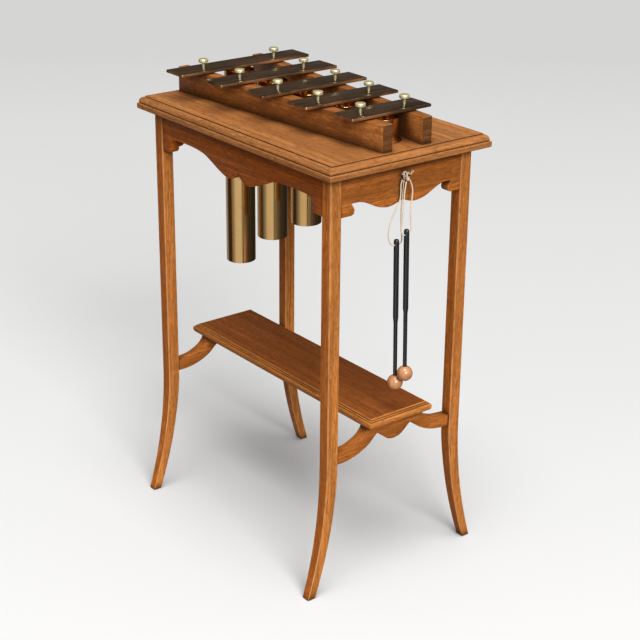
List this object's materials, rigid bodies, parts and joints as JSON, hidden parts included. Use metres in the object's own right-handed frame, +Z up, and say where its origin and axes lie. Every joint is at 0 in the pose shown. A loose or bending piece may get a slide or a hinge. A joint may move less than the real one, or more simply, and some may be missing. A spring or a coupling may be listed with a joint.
{
  "type": "metallophone",
  "caption": "Oak table with a shelf, carrying graduated metal tone bars on two rails over brass resonator tubes, with a pair of ball beaters hung on string loops",
  "frame": {"origin": "on the floor, at the middle of the overall length and width", "axes": "+Z up, X along the long side with the beaters at the +X end, Y across the table"},
  "size_m": [0.5872, 0.3936, 0.8808],
  "materials": {
    "oak_top": "waxed golden brown oak, straight grain",
    "oak_frame": "waxed golden brown oak with lighter edges",
    "oak_rail": "quarter sawn oak with ray flecks",
    "dark_bar": "dark brown gloss with thin bright edges",
    "brass": "polished, lightly toned",
    "felt": "grey green felt",
    "black_lacquer": "ebonised, satin",
    "turned_wood": "turned pale wood, varnished",
    "cotton": "unbleached twisted cotton string"
  },
  "bodies": {
    "table": {"table_top": "oak_top", "leg_far_front": "oak_frame", "leg_far_back": "oak_frame", "leg_near_front": "oak_frame", "leg_near_back": "oak_frame", "apron_far_end": "oak_frame", "apron_near_end": "oak_frame", "apron_front": "oak_frame", "apron_back": "oak_frame", "stretcher_far": "oak_frame", "stretcher_near": "oak_frame", "undershelf": "oak_top", "rail_front": "oak_rail", "rail_back": "oak_rail", "pin_1_front": "brass", "felt_1_front": "felt", "pin_1_back": "brass", "felt_1_back": "felt", "resonator_1": "brass", "collar_1": "brass", "pin_2_front": "brass", "felt_2_front": "felt", "pin_2_back": "brass", "felt_2_back": "felt", "resonator_2": "brass", "collar_2": "brass", "pin_3_front": "brass", "felt_3_front": "felt", "pin_3_back": "brass", "felt_3_back": "felt", "resonator_3": "brass", "collar_3": "brass", "pin_4_front": "brass", "felt_4_front": "felt", "pin_4_back": "brass", "felt_4_back": "felt", "resonator_4": "brass", "collar_4": "brass", "pin_5_front": "brass", "felt_5_front": "felt", "pin_5_back": "brass", "felt_5_back": "felt", "resonator_5": "brass", "collar_5": "brass", "hanging_nail": "brass"},
    "bar_1": {"tone_bar_1": "dark_bar"},
    "bar_2": {"tone_bar_2": "dark_bar"},
    "bar_3": {"tone_bar_3": "dark_bar"},
    "bar_4": {"tone_bar_4": "dark_bar"},
    "bar_5": {"tone_bar_5": "dark_bar"},
    "loop_a": {"knot_a": "cotton", "string_loop_a": "cotton"},
    "beater_a": {"beater_handle_a": "black_lacquer", "beater_ball_a": "turned_wood"},
    "loop_b": {"knot_b": "cotton", "string_loop_b": "cotton"},
    "beater_b": {"beater_handle_b": "black_lacquer", "beater_ball_b": "turned_wood"}
  },
  "joints": [
    {"name": "bar_1_lift", "type": "slide", "parent": "table", "child": "bar_1", "axis": [0, 0, 1], "range_m": [0, 0.009]},
    {"name": "bar_2_lift", "type": "slide", "parent": "table", "child": "bar_2", "axis": [0, 0, 1], "range_m": [0, 0.009]},
    {"name": "bar_3_lift", "type": "slide", "parent": "table", "child": "bar_3", "axis": [0, 0, 1], "range_m": [0, 0.009]},
    {"name": "bar_4_lift", "type": "slide", "parent": "table", "child": "bar_4", "axis": [0, 0, 1], "range_m": [0, 0.009]},
    {"name": "bar_5_lift", "type": "slide", "parent": "table", "child": "bar_5", "axis": [0, 0, 1], "range_m": [0, 0.009]},
    {"name": "loop_a_swing", "type": "hinge", "parent": "table", "child": "loop_a", "pos_m": [0.2649, 0.0005, 0.765], "axis": [1, 0, 0], "range_deg": [-14, 14]},
    {"name": "beater_a_swing", "type": "hinge", "parent": "loop_a", "child": "beater_a", "pos_m": [0.2549, -0.0051, 0.63675], "axis": [0, 1, 0], "range_deg": [0, 60]},
    {"name": "loop_b_swing", "type": "hinge", "parent": "table", "child": "loop_b", "pos_m": [0.2724, 0.0005, 0.765], "axis": [1, 0, 0], "range_deg": [-14, 14]},
    {"name": "beater_b_swing", "type": "hinge", "parent": "loop_b", "child": "beater_b", "pos_m": [0.2729, 0.0013, 0.6587], "axis": [0, 1, 0], "range_deg": [-75, 0]}
  ]
}
